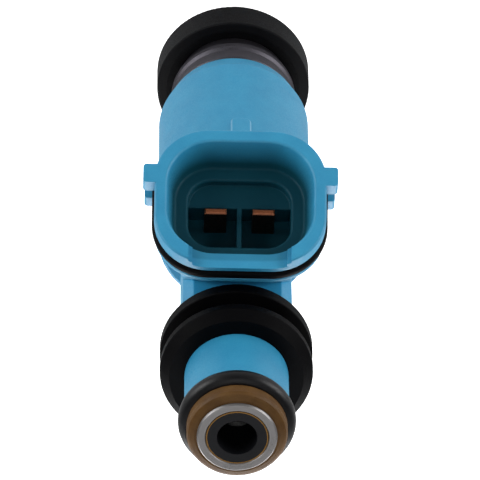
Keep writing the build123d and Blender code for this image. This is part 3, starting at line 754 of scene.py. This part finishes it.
# %% Weave the filter's gauze
GAUZE_WIRE = 0.07 * MM
HOOPS, UPRIGHTS = 36, 60
sleeve_low, sleeve_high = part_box("filter_mesh")
gauze = grow(
    "filter_gauze_woven",
    woven_sleeve,
    Radius=sleeve_high.x - GAUZE_WIRE,
    Wire=GAUZE_WIRE,
    Bottom=sleeve_low.z + GAUZE_WIRE / 2,
    Height=sleeve_high.z - sleeve_low.z - GAUZE_WIRE,
    Hoops=HOOPS,
    Uprights=UPRIGHTS,
    Material=filter_gauze,
)
stands_for(gauze, "filter_mesh")

# %% [markdown]
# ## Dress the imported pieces
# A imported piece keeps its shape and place. Only its material changes.

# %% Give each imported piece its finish
DRESS = {
    blue_overmould: ["overmould_body"],
    ring_rubber: ["lower_insulator"],
    black_rubber: ["inlet_o_ring", "bobbin_seal_upper", "bobbin_seal_lower"],
    grommet_rubber: ["rail_grommet", "connector_seal"],
    tan_plastic: ["backup_ring"],
    filter_plastic: ["filter_frame"],
    bobbin_plastic: ["coil_bobbin"],
    cap_plastic: ["nozzle_cap"],
    stainless: [
        "inlet_tube",
        "nozzle_body",
        "orifice_plate",
        "stopper_plate",
        "needle",
        "adjusting_pipe",
        "guide_sleeve",
    ],
    dark_steel: ["nozzle_holder", "magnetic_housing", "yoke_plate", "armature"],
    filter_brass: ["filter_collar"],
    terminal_copper: ["terminal_left", "terminal_right"],
}
for finish, names in DRESS.items():
    for name in names:
        materials = frame["nodes"][name].data.materials
        materials.clear()
        materials.append(finish)
print("dressed:", sum(len(names) for names in DRESS.values()))

# %% [markdown]
# ## Floor and lights
# A small product is often lit inside a white tent: broad soft panels, a pale surface, and white all round,
# which shows as pale edges on round parts. The table glows a little, so that it stays clean and white.

# %% The table
TABLE_SIDE = 3.0
TABLE_BLOTCH = 0.02
TABLE_ROUGHNESS = 0.8
GLOW = 1.0


def flat_square(name, side, height):
    """A square sheet, facing up."""
    half = side / 2
    corners = [(-half, -half, height), (half, -half, height), (half, half, height), (-half, half, height)]
    mesh = bpy.data.meshes.new(name)
    mesh.from_pydata(corners, [], [(0, 1, 2, 3)])
    square = bpy.data.objects.new(name, mesh)
    bpy.context.scene.collection.objects.link(square)
    return square


table_finish, tree, shader, place = new_finish("table_white")
blotches = noise(tree, place, TABLE_BLOTCH)
white = mixed(tree, blotches, tint(244, 244, 244), tint(238, 238, 238))
feed(tree, shader.inputs["Base Color"], white)
shader.inputs["Roughness"].default_value = TABLE_ROUGHNESS
shader.inputs["Emission Color"].default_value = (1.0, 1.0, 1.0, 1.0)
seen = tree.nodes.new("ShaderNodeLightPath").outputs["Is Camera Ray"]
feed(tree, shader.inputs["Emission Strength"], maths(tree, "MULTIPLY", seen, GLOW))
table = flat_square("table", TABLE_SIDE, cad_low.z)
table.data.materials.append(table_finish)

# %% Panels and surroundings
CENTRE = (cad_low + cad_high) / 2


def panel(name, azimuth, elevation, distance, width, height, power):
    """A soft light panel aimed at the middle of the object."""
    towards = looking_from(radians(azimuth), radians(elevation))
    lamp = bpy.data.lights.new(name, "AREA")
    lamp.shape = "RECTANGLE"
    lamp.size = width
    lamp.size_y = height
    lamp.energy = power
    light = bpy.data.objects.new(name, lamp)
    light.location = CENTRE + towards * distance
    light.rotation_mode = "QUATERNION"
    light.rotation_quaternion = turned_towards(-towards)
    bpy.context.scene.collection.objects.link(light)


panel("left_panel", azimuth=-62, elevation=8, distance=0.5, width=0.3, height=0.4, power=2.2)
panel("right_panel", azimuth=62, elevation=8, distance=0.5, width=0.3, height=0.4, power=2.2)
panel("back_panel", azimuth=180, elevation=9, distance=0.6, width=0.8, height=0.3, power=7.0)
panel("top_panel", azimuth=180, elevation=78, distance=0.6, width=0.3, height=0.3, power=0.5)
panel("front_panel", azimuth=0, elevation=66, distance=0.6, width=0.4, height=0.3, power=0.45)

# %% White surroundings, brightest at table height
ZENITH_LIGHT = 0.06
HORIZON_LIGHT = 0.35
HORIZON_BAND = (0.02, 0.5)
tent = bpy.data.worlds.new("white_tent")
tent.use_nodes = True
tree = tent.node_tree
direction = tree.nodes.new("ShaderNodeTexCoord").outputs["Generated"]
skyward = node(tree, "ShaderNodeSeparateXYZ", direction).outputs["Z"]
light = ranged(tree, maths(tree, "ABSOLUTE", skyward), *HORIZON_BAND, HORIZON_LIGHT, ZENITH_LIGHT)
tree.nodes["Background"].inputs["Color"].default_value = (1.0, 1.0, 1.0, 1.0)
feed(tree, tree.nodes["Background"].inputs["Strength"], light)
bpy.context.scene.world = tent
bpy.context.scene.view_settings.view_transform = "Standard"
